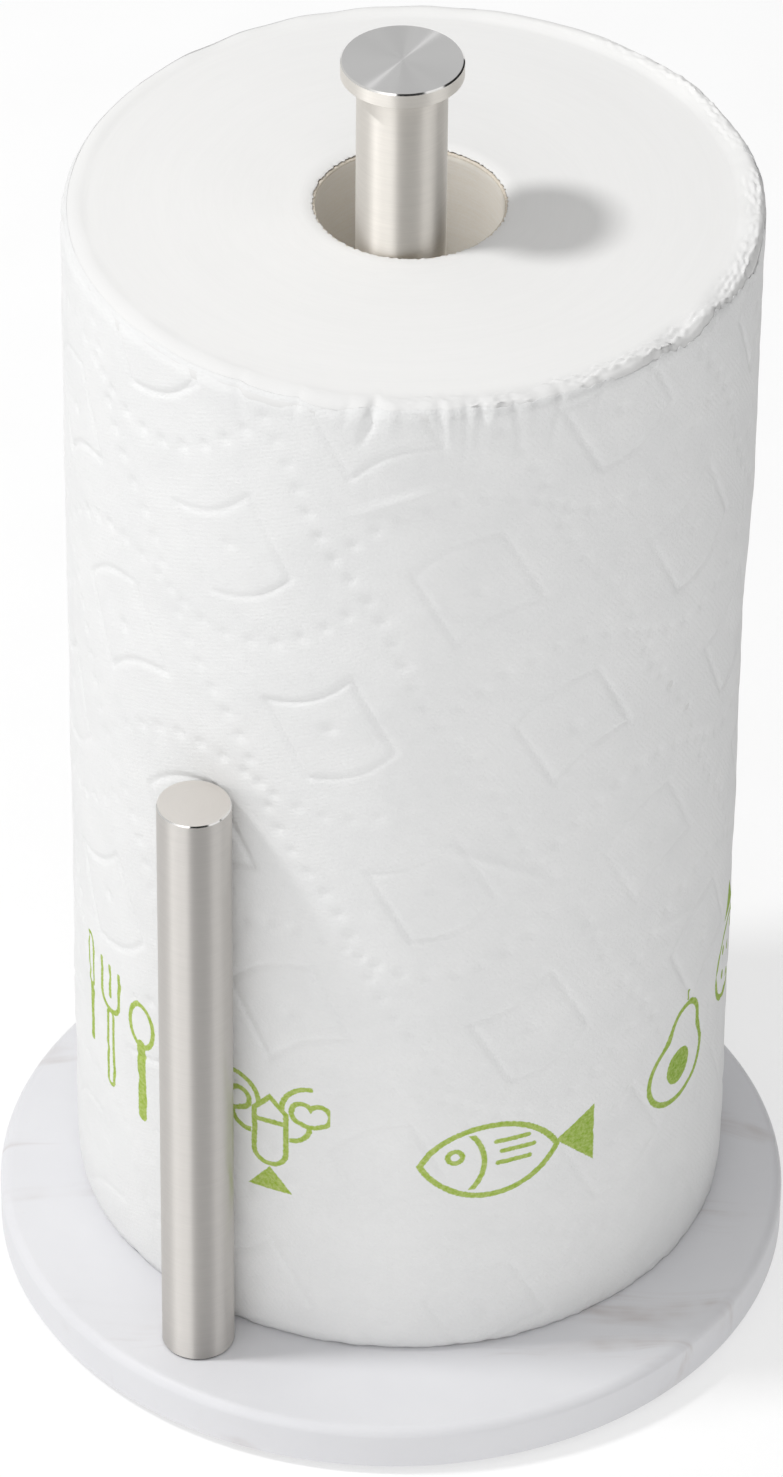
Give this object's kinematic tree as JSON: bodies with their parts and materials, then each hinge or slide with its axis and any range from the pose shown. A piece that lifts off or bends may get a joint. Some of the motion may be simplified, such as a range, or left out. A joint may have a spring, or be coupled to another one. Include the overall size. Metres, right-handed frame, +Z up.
{
  "type": "paper towel holder",
  "caption": "Free-standing paper towel holder: round stone base, steel rod with a disc on top, short steel bar beside a standing roll of embossed paper.",
  "frame": {"origin": "on the table under the middle of the round base, which is also the rod's axis", "axes": "+Z up along the rod; the front is -Y, where the side bar stands, towards -X"},
  "size_m": [0.1905, 0.1904, 0.3378],
  "materials": {
    "marble": "satin",
    "pad_foam": "matte",
    "brushed_tube": "satin",
    "brushed_disc": "satin",
    "bush_steel": "satin",
    "gasket_rubber": "matte",
    "screw_steel": "satin",
    "washer_steel": "satin",
    "spring_steel": "satin",
    "core_board": "matte",
    "wound_paper": "matte",
    "printed_paper": "matte"
  },
  "bodies": {
    "holder": {"marble_base": "marble", "base_pad": "pad_foam", "center_rod": "brushed_tube", "rod_cap": "brushed_disc", "rod_insert": "bush_steel", "rod_gasket": "gasket_rubber", "rod_screw": "screw_steel", "rod_washer": "washer_steel", "rod_lock_washer": "spring_steel", "side_bar": "brushed_tube", "bar_cap": "brushed_disc", "bar_insert": "bush_steel", "bar_gasket": "gasket_rubber", "bar_screw": "screw_steel", "bar_washer": "washer_steel", "bar_lock_washer": "spring_steel"},
    "core": {"roll_core": "core_board"},
    "paper": {"towel_winding": "wound_paper", "outer_wrap": "printed_paper"}
  },
  "joints": [
    {"name": "roll_lift", "type": "slide", "parent": "holder", "child": "core", "axis": [0, 0, 1], "range_m": [0, 0.041]},
    {"name": "roll_spin", "type": "hinge", "parent": "core", "child": "paper", "pos_m": [0.002, 0.01077, 0.1531], "axis": [0, 0, 1], "continuous": true}
  ]
}
